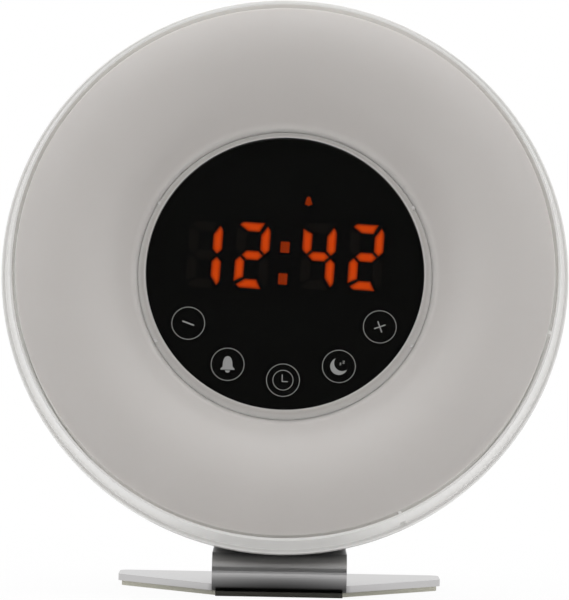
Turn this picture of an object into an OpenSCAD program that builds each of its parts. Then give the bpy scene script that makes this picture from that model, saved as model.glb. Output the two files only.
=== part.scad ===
// Sunrise alarm clock: an opal lamp ring round a black digital clock face, in a round head that
// leans back on a folded sheet-metal stand. Millimetres, +Z up, and the face looks along -Y.
// The origin is on the underside of the foot pad, straight below the centre of the head.
// Inside the head, X is across, Y is up the face and Z stands out of it, from the plane where
// the clear rim meets the rear housing.

/* [Head] */
// Diameter across the clear flange, the widest part of the head
body_d = 170; // [166:1:178]
// Backward lean of the face, in degrees
lean = 12.5; // [8:0.5:16]
// How far the clear flange stands out past the rear housing
flange_lip = 2.2; // [1.5:0.1:3]
// Depth of the rear housing behind the parting plane
housing_depth = 31; // [30.5:0.5:34]
// Radius of the rear housing's rounded edge
back_round_r = 26; // [24:0.5:27]
// Wall of the rear housing
housing_wall = 2.2; // [1.8:0.1:2.6]

/* [Clear rim] */
// Height of the clear side wall in front of the parting plane
rim_h = 10.5; // [9.5:0.5:12]
// Thickness of the clear flange
flange_t = 3; // [2:0.5:4]
// Thickness of the clear side wall at its front edge
rim_edge_t = 0.8; // [0.6:0.1:1.2]
// Thickness of the clear side wall where it meets the flange
rim_root_t = 2.2; // [2:0.1:2.6]
// Open groove between the clear side wall and the diffuser
groove_w = 1; // [0.5:0.1:1.2]
// Width of the locating ribs in that groove
rib_w = 0.9; // [0.6:0.1:1.5]

/* [Diffuser] */
// Wall of the opal diffuser
opal_t = 1.8; // [1.4:0.1:2.2]
// Radius of the diffuser's rounded front, in section
opal_round_r = 26.1; // [25:0.5:32]
// Height of the diffuser's outer shoulder above the parting plane
opal_outer_h = 9.6; // [8:0.2:10]
// Depth of the diffuser's inner edge below the parting plane
opal_inner_drop = 0.3; // [0:0.1:1]

/* [Clock face] */
// Diameter of the smoked window
window_d = 83.4; // [82:0.2:86]
// Thickness of the smoked window
window_t = 1.6; // [1.2:0.1:2]
// Height of the window's face above the parting plane
face_h = 3; // [3:0.2:5]
// Width of the clear bezel at its front edge
bezel_edge_w = 0.6; // [0.4:0.1:1]
// Width of the clear bezel at its foot
bezel_foot_w = 2.2; // [1.6:0.1:2.4]
// Open moat between the bezel's foot and the diffuser
moat_w = 0.3; // [0.3:0.1:1]
// Width of the bezel's four clips
clip_w = 1; // [0.6:0.1:2]
// Height of one digit
digit_h = 20.4; // [18:0.2:21]
// Width of one digit
digit_w = 10.2; // [9:0.2:10.6]
// Width of a digit's segments
segment_w = 2.9; // [2.4:0.1:3.2]
// Pitch between the two digits of a pair
digit_pitch = 14.3; // [13:0.1:14.6]
// Distance from the middle of the face to the middle of each pair of digits
pair_x = 17.1; // [16.8:0.1:17.4]
// Height of the digits' middle above the middle of the face
digits_y = 5.6; // [4:0.2:6]
// Width of the colon's two lights
colon_w = 2.7; // [2.2:0.1:3.4]
// Height of the colon's two lights
colon_h = 3.4; // [2.6:0.1:3.8]
// Time that the lit segments show
time_shown = [1, 2, 4, 2];
// Distance from the window's edge to the middle of each touch field
touch_inset = 8.9; // [8.3:0.1:9.7]
// Angle between neighbouring touch fields
touch_step = 30.4; // [28:0.2:31]

/* [Lamp] */
// Depth of the reflector tray behind the parting plane
tray_depth = 13.6; // [12:0.2:14]
// Wall of the reflector tray and its tower
tray_t = 1.6; // [1.2:0.1:2]
// Mean radius of the ring of lamps
led_ring_r = 60.5; // [58:0.5:62]
// Number of lamps
led_count = 24; // [12:1:30]
// Side of one square lamp
led_side = 5; // [3:0.5:6]

/* [Main board] */
// Width of the main board
board_w = 78; // [74:1:80]
// Height of the main board
board_l = 40; // [38:1:42]
// Thickness of every circuit board
pcb_t = 1.6; // [1.2:0.1:1.6]

/* [Back] */
// Outer diameter of the speaker
speaker_d = 40; // [36:0.5:40]
// Height of the speaker's middle above the middle of the head
speaker_y = 12; // [11:0.5:12]
// Radius of the arc that the back keys lie on
key_arc_r = 46; // [45:0.5:46.5]
// Angle between neighbouring back keys
key_step = 20; // [19:0.5:21]
// Length of a back key along the arc
key_l = 9; // [8:0.2:9.6]
// Width of a back key
key_w = 5.2; // [4.6:0.2:6]
// How far a back key stands out of the back
key_proud = 1.2; // [0.9:0.1:1.6]
// Travel of a back key
key_travel = 0.7; // [0.4:0.1:0.8]
// Side of the square battery door
door_side = 24.4; // [24:0.1:24.6]
// Thickness of the battery door
door_t = 1.8; // [1.5:0.1:2]
// Diameter of the round back-up cell
cell_d = 20; // [19:0.5:20]
// Thickness of the back-up cell
cell_t = 3.2; // [2.5:0.1:3.2]
// Outer diameter of the power plug that the inlet takes
plug_d = 5.5; // [4:0.1:5.5]

/* [Stand] */
// Thickness of the stand's sheet metal
sheet_t = 2; // [1.5:0.1:2.4]
// Width of the bent strip that carries the head
strip_w = 40; // [36:0.2:44]
// Outer radius of the folded front roll
roll_r = 5.75; // [5:0.25:7]
// How far the roll's centre lies behind the lowest point of the flange
roll_setback = 6.4; // [6:0.1:8]
// Inner radius of the bend where the strip turns up behind the head
bend_r = 6; // [4:0.5:7]
// Height of the strip's end below the middle of the head
strip_end_drop = 21; // [20:0.5:24]
// Overall width of the base plate
base_w = 98.4; // [92:0.2:110]
// Depth of the base plate behind the centre of the roll
base_depth = 50; // [46:1:56]
// Length of the base plate's straight sides
base_side = 17; // [12:1:20]
// Radius of the base plate's corners
base_corner_r = 3; // [1:0.5:5]
// Thickness of the rubber foot pad
pad_t = 1.4; // [1:0.1:2]
// How far the pad's edge lies inside the plate's edge
pad_inset = 1.1; // [0.5:0.1:2]
// How far the pad reaches under the front roll
pad_front = 3; // [2:0.5:3.5]

/* [Hidden] */
$fn = 96;
eps = 0.01;
big = 400;

// Clearances
fit_gap = 0.2;        // between pieces that drop into each other
slide_gap = 0.3;      // round the keys and the battery door
seat_gap = 0.25;      // between the head's lowest point and the strip under it
thread_gap = 0.05;    // between a screw and its hole
over = 1;             // how far a cutter reaches past the face that it cuts

// Head: radii from the outside in
flange_r = body_d / 2;
housing_r = flange_r - flange_lip;
housing_in_r = housing_r - housing_wall;
rim_seat_w = 1.3;
rim_in_r = housing_r - rim_seat_w;
opal_r = rim_in_r - groove_w;
opal_in_r = window_d / 2 + fit_gap / 2 + bezel_foot_w + moat_w;
rib_angles = [-64.3, -12.9];
rib_gap = 0.15;
rib_bite = 0.3;
rib_h = 3.5;
rib_drop = 1;
rim_notch_w = 1.8;
rim_notch_l = 1.2;
rim_notch_d = 0.9;
rim_notch_bite = 0.4;
tray_flange_r = housing_in_r - fit_gap;
tray_flange_w = 3.9;
tray_wall_r = tray_flange_r - tray_flange_w;

// Rear housing: a flat back, a round edge and a short straight skirt
flat_r = housing_r - back_round_r;
skirt_h = housing_depth - back_round_r;
back_in = -(housing_depth - housing_wall);
ledge_w = 2.2;

// Diffuser: centre of the arc through its inner and outer edges
opal_low = [opal_in_r, -opal_inner_drop];
opal_high = [opal_r, opal_outer_h];
opal_chord = opal_high - opal_low;
opal_dir = opal_chord / norm(opal_chord);
opal_sink = sqrt(pow(opal_round_r, 2) - pow(norm(opal_chord) / 2, 2));
opal_centre = (opal_low + opal_high) / 2 + opal_sink * [opal_dir[1], -opal_dir[0]];

// Clock face: everything stands on the tray's tower
bezel_seat_depth = 2;
bezel_shelf_w = 1.1;
bezel_chamfer = 0.25;
clip_angles = [29, 151, 209, 331];
clip_gap = 0.15;
clip_h = 1.3;
seat_h = -bezel_seat_depth;
tower_shelf_w = 0.4;
tower_in_r = window_d / 2 - tower_shelf_w;
tower_r = tower_in_r + tray_t;
tower_lip = 0.7;
tower_ledge_w = 2;
display_board_depth = 6.4;
display_board_front = -display_board_depth;
window_back = face_h - window_t;
module_gap = 0.3;
module_front = window_back - module_gap;
module_margin = 3.2;
lens_t = 1;
segment_tip = 1;
segment_corner = 1.9;
segment_bevel = 0.3;
segment_gap = 0.45;
digit_slant = 3;
indicator_at = [6.7, 22.8];
indicator_box = 8;
bell_h = 2.5;
bell_r = 0.65;
bell_mouth_r = 1.15;
clapper_r = 0.4;
bell_step = 15;
colon_x = -0.4;
colon_drop = 2.2;
colon_pitch = 9.8;
LIT = ["abcdef", "bc", "abged", "abgcd", "fgbc", "afgcd", "afgedc", "abc", "abcdefg", "abcdfg"];
touch_arc_r = window_d / 2 - touch_inset;
touch_angles = [for (i = [-2:2]) i * touch_step];
spring_wire_r = 0.35;
spring_foot_r = 3;
spring_head_r = 4.6;
spring_turns = 3.5;

// Boards, counted towards the back
tray_back = -tray_depth;
led_board_front = tray_back + tray_t + pcb_t;
led_board_in_r = tower_r + 7.4;
led_board_out_r = tray_wall_r - tray_t - 3.9;
led_t = 1.6;
parts_room = 9.2;
main_back = back_in + parts_room;
main_front = main_back + pcb_t;
main_top = 21;
main_y = -main_top - board_l / 2;
main_reach = housing_in_r - 8;
upper_post_inset = [3, 15];
lower_post_inset = [8, 7];
upper_post_at = [board_w / 2, -main_top] - upper_post_inset;
lower_post_at = [board_w / 2, -main_top - board_l] + [-lower_post_inset[0], lower_post_inset[1]];
board_post_at = [for (side = [-1, 1], at = [upper_post_at, lower_post_at]) [side * at[0], at[1]]];
board_post_r = 3;
board_screw_tip = 0.4;
chip_t = 1.4;
control_chip_at = [14, -34];
control_chip_side = 10;
sound_chip_at = [20, -52];
sound_chip_l = 10;
sound_chip_w = 6;
capacitor_at = [[-22, -53], [-14, -53]];
capacitor_r = 3.2;
capacitor_h = 7;
socket_at = [[-14, -38], [29, -38]];
socket_l = 8;
socket_w = 4.6;
socket_h = 4;
jack_at = [-33, -27.5];
jack_side = 9;
jack_fit = 0.1;
jack_bore_r = plug_d / 2 + jack_fit;
jack_bore_l = 9;
jack_pin_r = 1;
jack_pin_l = 9.5;
jack_pin_play = 0.5;
jack_pin_setback = 1;

// Speaker, face to the back
speaker_r = speaker_d / 2;
speaker_lip = 1.4;
speaker_fence_h = 2.5;
speaker_fence_t = 1.6;
basket_flange_w = 1.2;
basket_h = 8.3;
basket_t = 1.2;
basket_wall = 1;
basket_waist_r = speaker_r * 0.6;
magnet_r = speaker_r * 0.62;
magnet_h = 3.8;
cone_paper = 0.4;
cone_surround_w = 1.7;
cone_edge_gap = 0.1;
cone_depth = 4.8;
cap_r = 5.5;
cap_mid_h = 3.9;
cap_low_h = 3.6;
grille_t = 1.2;
grille_r = speaker_r - 1.4;
grille_open_r = speaker_r - 3.8;
grille_hole_r = 0.85;
grille_pitch = 3;
cone_seat_r = grille_open_r + 0.9;

// Back keys and their board
key_angles = [for (i = [-1.5:1.5]) 90 - i * key_step];
key_lip = 1.2;
key_lip_t = 1;
key_stem = 1.6;
stem_r = 1.8;
stem_end = back_in + fit_gap + key_lip_t + key_stem;
plunger_h = 0.8;
plunger_r = 1.7;
switch_side = 6;
switch_h = 3.5;
key_board_back = stem_end + key_travel + fit_gap + plunger_h + switch_h;
key_post_r = 2.4;
key_post_step = 2.05 * key_step;
key_post_out = 6.4;
key_posts = [[key_arc_r, 90 - key_post_step], [key_arc_r, 90 + key_post_step],
    [key_arc_r + key_post_out, 90]];
key_board_end = 5;
key_board_out = 9.2;
key_board_in = 7.8;
key_screw_bite = 5;
small_screw_r = 1;
small_screw_play = 0.3;
small_head_h = 1.4;
board_head_r = 2.4;
key_head_r = 2.2;

// Back-up cell pocket
door_at = [36, -10];
pocket_side = door_side + 2 * slide_gap;
pocket_wall = 1.6;
cell_play = 0.4;
cell_bore_r = cell_d / 2 + cell_play;
contact_t = 0.4;
contact_r = 6;
door_back = -housing_depth;
cell_back = door_back + door_t + cell_play;
pocket_floor = cell_back + cell_t + contact_t;
door_corner_r = 2.2;
door_screw_inset = 2.7;
door_screw_at = door_at + [1, -1] * (door_side / 2 - door_screw_inset);
door_screw_head_r = 1.9;
door_screw_head_h = 1;
door_screw_l = 4;
door_groove_r = 3;
door_groove_d = 0.8;

// Screws that close the case and hold the stand
case_screw_r = tray_flange_r - 14.4;
case_angles = [45, 135, 225, 315];
case_post_h = 6.4;
case_post_r = 4;
case_boss_r = 5;
case_floor_t = 4;
case_joint = tray_back - case_post_h;
case_floor = case_joint - case_floor_t;
case_shank_r = 1.5;
case_shank_play = 0.2;
case_bite = 4.5;
case_head_r = 3.2;
case_head_play = 0.4;
large_head_h = 2.2;
stand_screw_drop = [30, 45];
stand_boss_h = 7.4;
stand_boss_r = 4.5;
stand_shank_r = 1.5;
stand_shank_play = 0.4;
stand_bite = stand_boss_h - 0.6;
stand_head_r = 3.6;

// Stand, seen from the side
roll_y = -sin(lean) * flange_r + roll_setback;
roll_z = pad_t + roll_r;
limb_top = pad_t + 2 * roll_r;
head_z = limb_top + seat_gap + back_round_r + cos(lean) * flat_r + sin(lean) * skirt_h;
bend_z = limb_top + bend_r;
bend_depth = housing_depth - bend_r;
bend_up = (bend_z - head_z + sin(lean) * bend_depth) / cos(lean);
bend_y = sin(lean) * bend_up + cos(lean) * bend_depth;
upright_l = -strip_end_drop - bend_up;
strip_end_r = 6;

// Places its children in the leaning head
module in_head() {
    translate([0, 0, head_z]) rotate([90 - lean, 0, 0]) children();
}

// A square with arcs for corners
module rounded_square(size, r) {
    square([size[0] - 2 * r, size[1]], center = true);
    square([size[0], size[1] - 2 * r], center = true);
    for (x = [-1, 1], y = [-1, 1])
        translate([x * (size[0] / 2 - r), y * (size[1] / 2 - r)]) circle(r);
}

// A disc or ring between two heights
module ring(r_out, r_in, z_low, z_high) {
    translate([0, 0, z_low]) linear_extrude(z_high - z_low) difference() {
        circle(r_out);
        if (r_in > 0) circle(r_in);
    }
}

// A pan-head screw: its head stands on the plane Z = 0 and its shank runs along -Z
module screw(head_r, head_h, shank_r, length) {
    difference() {
        union() {
            rotate_extrude() polygon([[0, 0], [head_r, 0], [head_r, head_h * 0.55],
                [head_r * 0.7, head_h], [0, head_h]]);
            translate([0, 0, -length]) cylinder(r = shank_r, h = length + eps);
        }
        for (a = [0, 90])
            rotate(a) translate([-head_r * 0.55, -head_r * 0.12, head_h * 0.45])
                cube([head_r * 1.1, head_r * 0.24, head_h]);
    }
}

// ---- Front ----

module opal_section(r, inset) {
    intersection() {
        translate(opal_centre) circle(r, $fn = 256);
        translate([opal_in_r + inset, seat_h - inset]) square([opal_r - opal_in_r - 2 * inset, big]);
    }
}

module front_diffuser() {
    color("#efedec") in_head() rotate_extrude($fn = 180) difference() {
        opal_section(opal_round_r, 0);
        opal_section(opal_round_r - opal_t, opal_t);
        translate([opal_r - opal_t - over, seat_h - over])
            square([opal_t + 2 * over, over - seat_h]);
    }
}

module clear_rim() {
    soft = rim_edge_t / 4;
    rib_in_r = opal_r + rib_gap;
    rib_top = rim_h - rib_drop;
    notch_at = [rim_in_r + rim_root_t - rim_notch_bite, -rim_notch_w / 2, flange_t - rim_notch_d];
    color([0.86, 0.88, 0.88, 0.45]) in_head() difference() {
        union() {
            rotate_extrude($fn = 180) polygon([
                [rim_in_r, 0], [flange_r - soft, 0], [flange_r, soft],
                [flange_r, flange_t - 2 * soft], [flange_r - 2 * soft, flange_t],
                [rim_in_r + rim_root_t + soft, flange_t], [rim_in_r + rim_root_t, flange_t + soft],
                [rim_in_r + rim_edge_t, rim_h - soft], [rim_in_r + rim_edge_t - soft, rim_h],
                [rim_in_r + soft, rim_h], [rim_in_r, rim_h - soft]]);
            for (a = rib_angles) rotate(a) translate([rib_in_r, -rib_w / 2, rib_top - rib_h])
                cube([rim_in_r + rib_bite - rib_in_r, rib_w, rib_h]);
        }
        rotate(rib_angles[0]) translate(notch_at) cube([rim_notch_l, rim_notch_w, big]);
    }
}

// ---- Clock face ----

module display_bezel() {
    in_r = window_d / 2 + fit_gap / 2;
    foot_r = in_r + bezel_foot_w;
    shelf_r = in_r - bezel_shelf_w;
    color([0.86, 0.87, 0.86, 0.5]) in_head() union() {
        rotate_extrude($fn = 180) polygon([
            [shelf_r, seat_h], [foot_r, seat_h], [foot_r, 0],
            [in_r + bezel_edge_w, face_h - bezel_chamfer],
            [in_r + bezel_edge_w - bezel_chamfer, face_h], [in_r, face_h], [in_r, window_back],
            [shelf_r, window_back]]);
        for (a = clip_angles) rotate(a) translate([in_r + bezel_edge_w, -clip_w / 2, -clip_h])
            cube([bezel_foot_w - bezel_edge_w + moat_w - clip_gap, clip_w, 2 * clip_h]);
    }
}

module display_window() {
    color([0.03, 0.03, 0.035, 0.9]) in_head() ring(window_d / 2, 0, window_back, face_h);
}

// One segment of a digit, in the digit's own frame
module segment(name) {
    w = digit_w / 2;
    h = digit_h / 2;
    t = segment_w;
    if (name == "a") polygon([[-w + segment_tip * 0.7, h - segment_tip], [-w + segment_corner, h],
        [w - segment_corner, h], [w - t - segment_gap, h - t], [-w + t + segment_gap, h - t]]);
    if (name == "b") polygon([[w - segment_tip, h - segment_tip],
        [w - segment_bevel, h - segment_corner], [w, h - segment_tip - segment_corner],
        [w, segment_corner], [w - t / 2, segment_gap],
        [w - t, segment_corner], [w - t, h - t - 2 * segment_gap]]);
    if (name == "f") polygon([[-w, h - segment_corner], [-w, segment_corner],
        [-w + t / 2, segment_gap], [-w + t, segment_corner], [-w + t, h - t - segment_gap]]);
    if (name == "g") polygon([[-w + t / 2 + segment_gap, 0], [-w + t + segment_gap, t / 2],
        [w - t - segment_gap, t / 2], [w - t / 2 - segment_gap, 0],
        [w - t - segment_gap, -t / 2], [-w + t + segment_gap, -t / 2]]);
    if (name == "d") mirror([0, 1]) segment("a");
    if (name == "c") mirror([0, 1]) segment("b");
    if (name == "e") mirror([0, 1]) segment("f");
}

function is_lit(name, digit) = len(search(name, LIT[digit])) > 0;

// The segments of all four digits whose state is the one asked for
module segments(lit) {
    digit_x = [for (side = [-1, 1], k = [-0.5, 0.5]) side * pair_x + k * digit_pitch];
    for (i = [0:3], name = ["a", "b", "c", "d", "e", "f", "g"])
        if (is_lit(name, time_shown[i]) == lit)
            translate([digit_x[i], digits_y]) rotate(-digit_slant) segment(name);
}

module colon_and_bell() {
    dome_y = bell_h / 2 - bell_r;
    mouth_y = -bell_h / 2;
    dome = [for (a = [0:bell_step:180]) [bell_r * cos(a), dome_y + bell_r * sin(a)]];
    clapper = [for (a = [180:bell_step:360]) [clapper_r * cos(a), mouth_y + clapper_r * sin(a)]];
    translate([colon_x, digits_y - colon_drop]) rotate(-digit_slant) for (k = [-0.5, 0.5])
        translate([0, k * colon_pitch]) square([colon_w, colon_h], center = true);
    translate(indicator_at)
        polygon(concat(dome, [[-bell_mouth_r, mouth_y]], clapper, [[bell_mouth_r, mouth_y]]));
}

module lit_segments() {
    color("#ff5a10") in_head() translate([0, 0, module_front - lens_t]) linear_extrude(lens_t) {
        segments(true);
        colon_and_bell();
    }
}

module dark_segments() {
    color("#241d1a") in_head() translate([0, 0, module_front - lens_t]) linear_extrude(lens_t)
        segments(false);
}

module digit_module() {
    width = 2 * pair_x + digit_pitch + digit_w + 2 * module_margin;
    color("#0c0b0b") in_head() difference() {
        translate([0, 0, display_board_front]) linear_extrude(module_front - display_board_front) {
            translate([0, digits_y])
                square([width, digit_h + 2 * module_margin], center = true);
            translate(indicator_at) square(indicator_box, center = true);
        }
        translate([0, 0, module_front - lens_t]) linear_extrude(lens_t + over) {
            segments(true);
            segments(false);
            colon_and_bell();
        }
    }
}

// A conical coil of round wire that stands on Z = 0
module coil(foot_r, head_r, wire_r, height, turns) {
    sides = 5;
    steps = round(turns * 10);
    points = [for (i = [0:steps], k = [0:sides - 1])
        let (s = i / steps, turn = 360 * turns * s, tilt = 360 * k / sides,
            r = foot_r + (head_r - foot_r) * s + wire_r * cos(tilt))
        [r * cos(turn), r * sin(turn), wire_r + (height - 2 * wire_r) * s + wire_r * sin(tilt)]];
    walls = [for (i = [0:steps - 1], k = [0:sides - 1])
        let (a = i * sides + k, b = i * sides + (k + 1) % sides) [a, a + sides, b + sides, b]];
    ends = [[for (k = [0:sides - 1]) k], [for (k = [sides - 1:-1:0]) steps * sides + k]];
    polyhedron(points = points, faces = concat(walls, ends));
}

module touch_springs() {
    color("#c9b68a") in_head() for (a = touch_angles)
        rotate(a) translate([0, -touch_arc_r, display_board_front])
            coil(spring_foot_r, spring_head_r, spring_wire_r, window_back - display_board_front,
                spring_turns);
}

module display_board() {
    color("#1f5a35") in_head()
        ring(tower_in_r - fit_gap, 0, display_board_front - pcb_t, display_board_front);
}

// ---- Lamp ----

module light_tray() {
    board_back = display_board_front - pcb_t;
    lip_r = opal_in_r + opal_t + tower_lip;
    color("#f4f4f1") in_head() difference() {
        union() {
            ring(tray_wall_r, tower_in_r, tray_back, tray_back + tray_t);
            ring(tray_wall_r, tray_wall_r - tray_t, tray_back, 0);
            ring(tray_flange_r, tray_wall_r - tray_t, -tray_t, 0);
            ring(tower_r, tower_in_r, tray_back, seat_h);
            ring(lip_r, tower_in_r, seat_h - tray_t, seat_h);
            ring(tower_r, tower_in_r - tower_ledge_w, board_back - tray_t, board_back);
            for (p = board_post_at) translate([p[0], p[1], main_front])
                cylinder(r = board_post_r, h = tray_back - main_front + eps);
            for (a = case_angles) rotate(a) translate([case_screw_r, 0, case_joint])
                cylinder(r = case_post_r, h = case_post_h + eps);
        }
        for (p = board_post_at) translate([p[0], p[1], main_front - over])
            cylinder(r = small_screw_r + thread_gap, h = tray_back - main_front);
        for (a = case_angles) rotate(a) translate([case_screw_r, 0, case_joint - over])
            cylinder(r = case_shank_r + thread_gap, h = case_post_h + over);
    }
}

module led_ring_board() {
    color("#e9ebe6") in_head()
        ring(led_board_out_r, led_board_in_r, led_board_front - pcb_t, led_board_front);
}

module leds() {
    color("#f2e3a2") in_head() for (i = [0:led_count - 1])
        rotate(i * 360 / led_count) translate([led_ring_r, 0, led_board_front + led_t / 2])
            cube([led_side, led_side, led_t], center = true);
}

// ---- Main board ----

module main_board() {
    color("#1f5a35") in_head() difference() {
        intersection() {
            translate([-board_w / 2, main_y - board_l / 2, main_back])
                cube([board_w, board_l, pcb_t]);
            ring(main_reach, 0, main_back - over, main_front + over);
        }
        for (p = board_post_at) translate([p[0], p[1], main_back - over])
            cylinder(r = small_screw_r + small_screw_play, h = pcb_t + 2 * over);
    }
}

module main_board_screws() {
    color("#b9bbbd") in_head() for (p = board_post_at)
        translate([p[0], p[1], main_back]) mirror([0, 0, 1])
            screw(board_head_r, small_head_h, small_screw_r,
                tray_back - main_back - over - board_screw_tip);
}

// A part soldered to the back of the main board, given by its middle and its size
module on_main_board(at, size) {
    translate([at[0], at[1], main_back - size[2] / 2]) cube(size, center = true);
}

module control_chip() {
    color("#1b1b1c") in_head()
        on_main_board(control_chip_at, [control_chip_side, control_chip_side, chip_t]);
}

module sound_chip() {
    color("#1b1b1c") in_head() on_main_board(sound_chip_at, [sound_chip_l, sound_chip_w, chip_t]);
}

module capacitors() {
    color("#2c3f78") in_head() for (at = capacitor_at)
        translate([at[0], at[1], main_back - capacitor_h])
            cylinder(r = capacitor_r, h = capacitor_h);
}

module board_sockets() {
    color("#e8e4d8") in_head() for (at = socket_at)
        on_main_board(at, [socket_l, socket_w, socket_h]);
}

// ---- Power inlet ----

module dc_jack() {
    mouth = -housing_depth;
    color("#161617") in_head() translate([jack_at[0], jack_at[1], 0]) difference() {
        union() {
            translate([-jack_side / 2, -jack_side / 2, back_in + eps])
                cube([jack_side, jack_side, main_back - back_in - eps]);
            translate([0, 0, mouth])
                cylinder(r = jack_side / 2 - jack_fit, h = housing_wall + over);
        }
        translate([0, 0, mouth - over]) cylinder(r = jack_bore_r, h = jack_bore_l + over);
        translate([0, 0, mouth + jack_bore_l - eps])
            cylinder(r = jack_pin_r, h = jack_pin_setback + jack_pin_l + jack_pin_play - jack_bore_l);
    }
}

module dc_jack_pin() {
    color("#c8c9ca") in_head()
        translate([jack_at[0], jack_at[1], jack_pin_setback - housing_depth])
            cylinder(r = jack_pin_r, h = jack_pin_l);
}

// ---- Speaker ----

module speaker_basket() {
    lip = back_in + speaker_lip;
    rear = back_in + basket_h;
    color("#35373a") in_head() translate([0, speaker_y]) rotate_extrude() polygon([
        [grille_open_r, back_in], [speaker_r, back_in], [speaker_r, lip],
        [cone_seat_r + basket_flange_w, lip], [basket_waist_r, rear],
        [basket_waist_r, rear + basket_t], [0, rear + basket_t], [0, rear],
        [basket_waist_r - basket_wall, rear], [cone_seat_r, lip], [grille_open_r, lip]]);
}

module speaker_magnet() {
    color("#2a2a2c") in_head() translate([0, speaker_y, back_in + basket_h + basket_t])
        cylinder(r = magnet_r, h = magnet_h);
}

module speaker_cone() {
    lip = back_in + speaker_lip;
    edge_r = cone_seat_r - cone_edge_gap;
    fold_r = edge_r - cone_surround_w;
    color("#1d1d1e") in_head() translate([0, speaker_y, lip]) rotate_extrude() polygon([
        [edge_r, 0], [fold_r, 0], [cap_r, cone_depth], [cap_r / 2, cap_mid_h], [0, cap_low_h],
        [0, cap_low_h + cone_paper], [cap_r / 2, cap_mid_h + cone_paper],
        [cap_r, cone_depth + cone_paper], [fold_r, cone_paper],
        [edge_r - cone_paper, cone_paper]]);
}

module speaker_grille() {
    rings = floor((grille_open_r - 1) / grille_pitch);
    color("#d9dada") in_head() translate([0, speaker_y, -housing_depth]) linear_extrude(grille_t)
        difference() {
            circle(grille_r - fit_gap);
            circle(grille_hole_r);
            for (k = [1:rings], i = [0:6 * k - 1])
                rotate(i * 60 / k) translate([k * grille_pitch, 0]) circle(grille_hole_r, $fn = 24);
        }
}

// ---- Rear housing ----

// Outline of the bowl in section, drawn inward by its wall
module bowl(inset) {
    low = inset - housing_depth;
    square_top = inset > 0 ? over : 0;
    translate([0, low]) square([flat_r, square_top - low]);
    translate([0, -skirt_h]) square([housing_r - inset, skirt_h + square_top]);
    intersection() {
        translate([flat_r, -skirt_h]) circle(back_round_r - inset, $fn = 256);
        translate([0, low]) square([housing_r - inset, square_top - low]);
    }
}

// Places its children at one of the back keys
module at_key(angle) {
    rotate(angle - 90) translate([0, key_arc_r, 0]) children();
}

module housing_inserts() {
    boss_top = back_in + stand_boss_h;
    translate([0, speaker_y])
        ring(speaker_r + fit_gap + speaker_fence_t, speaker_r + fit_gap, back_in - eps,
            back_in + speaker_fence_h);
    for (a = case_angles) rotate(a) translate([case_screw_r, 0, -housing_depth])
        cylinder(r = case_boss_r, h = housing_depth + case_joint);
    for (drop = stand_screw_drop) translate([0, -drop, back_in - eps])
        cylinder(r = stand_boss_r, h = boss_top - back_in + eps);
    for (p = key_posts) rotate(p[1]) translate([p[0], 0, back_in - eps])
        cylinder(r = key_post_r, h = key_board_back - back_in + eps);
    translate([door_at[0], door_at[1], door_back])
        linear_extrude(pocket_floor + pocket_wall - door_back)
            rounded_square([1, 1] * (pocket_side + 2 * pocket_wall), door_corner_r + pocket_wall);
}

module housing_cuts() {
    translate([0, speaker_y, door_back - over]) {
        cylinder(r = grille_r, h = grille_t + over);
        cylinder(r = grille_open_r, h = housing_wall + 2 * over);
    }
    for (a = key_angles) at_key(a) translate([0, 0, door_back - over])
        linear_extrude(housing_wall + 2 * over)
            rounded_square([key_l + 2 * slide_gap, key_w + 2 * slide_gap], key_w * 0.3);
    for (a = case_angles) rotate(a) translate([case_screw_r, 0, 0]) {
        translate([0, 0, door_back - over])
            cylinder(r = case_head_r + case_head_play, h = case_floor - door_back + over);
        translate([0, 0, case_floor - over])
            cylinder(r = case_shank_r + case_shank_play, h = case_floor_t + 2 * over);
    }
    for (drop = stand_screw_drop) translate([0, -drop, door_back - over])
        cylinder(r = stand_shank_r + thread_gap, h = stand_boss_h + 2 * over);
    for (p = key_posts) rotate(p[1]) translate([p[0], 0, back_in + over])
        cylinder(r = small_screw_r + thread_gap, h = key_board_back - back_in);
    translate([door_at[0], door_at[1], 0]) {
        translate([0, 0, door_back - over]) linear_extrude(door_t + over)
            rounded_square([pocket_side, pocket_side], door_corner_r);
        translate([0, 0, door_back]) cylinder(r = cell_bore_r, h = pocket_floor - door_back);
    }
    translate([door_screw_at[0], door_screw_at[1], door_back])
        cylinder(r = small_screw_r + slide_gap, h = pocket_floor - door_back - 0.5);
    translate([jack_at[0], jack_at[1], door_back - over])
        cylinder(r = jack_side / 2 + jack_fit, h = housing_wall + 2 * over);
}

module rear_housing() {
    color("#f1f1ef") in_head() difference() {
        union() {
            rotate_extrude($fn = 180) {
                difference() {
                    bowl(0);
                    bowl(housing_wall);
                }
                polygon([[housing_in_r + eps, -tray_t], [housing_in_r - ledge_w, -tray_t],
                    [housing_in_r - ledge_w, -tray_t - 1.4],
                    [housing_in_r + eps, -tray_t - 1.4 - ledge_w]]);
            }
            intersection() {
                rotate_extrude($fn = 180) bowl(0);
                housing_inserts();
            }
        }
        housing_cuts();
    }
}

// ---- Back keys ----

module back_key(index) {
    tip = -housing_depth - key_proud;
    color("#e4e4e2") in_head() at_key(key_angles[index]) {
        translate([0, 0, tip]) linear_extrude(back_in + fit_gap - tip + eps)
            rounded_square([key_l, key_w], key_w * 0.3);
        translate([0, 0, back_in + fit_gap]) linear_extrude(key_lip_t)
            rounded_square([key_l + 2 * key_lip, key_w + 2 * key_lip], key_w * 0.3);
        translate([0, 0, back_in + fit_gap + key_lip_t - eps])
            cylinder(r = stem_r, h = key_stem + eps);
    }
}

module light_key() { back_key(0); }
module sound_key() { back_key(1); }
module radio_key() { back_key(2); }
module dimmer_key() { back_key(3); }

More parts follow.
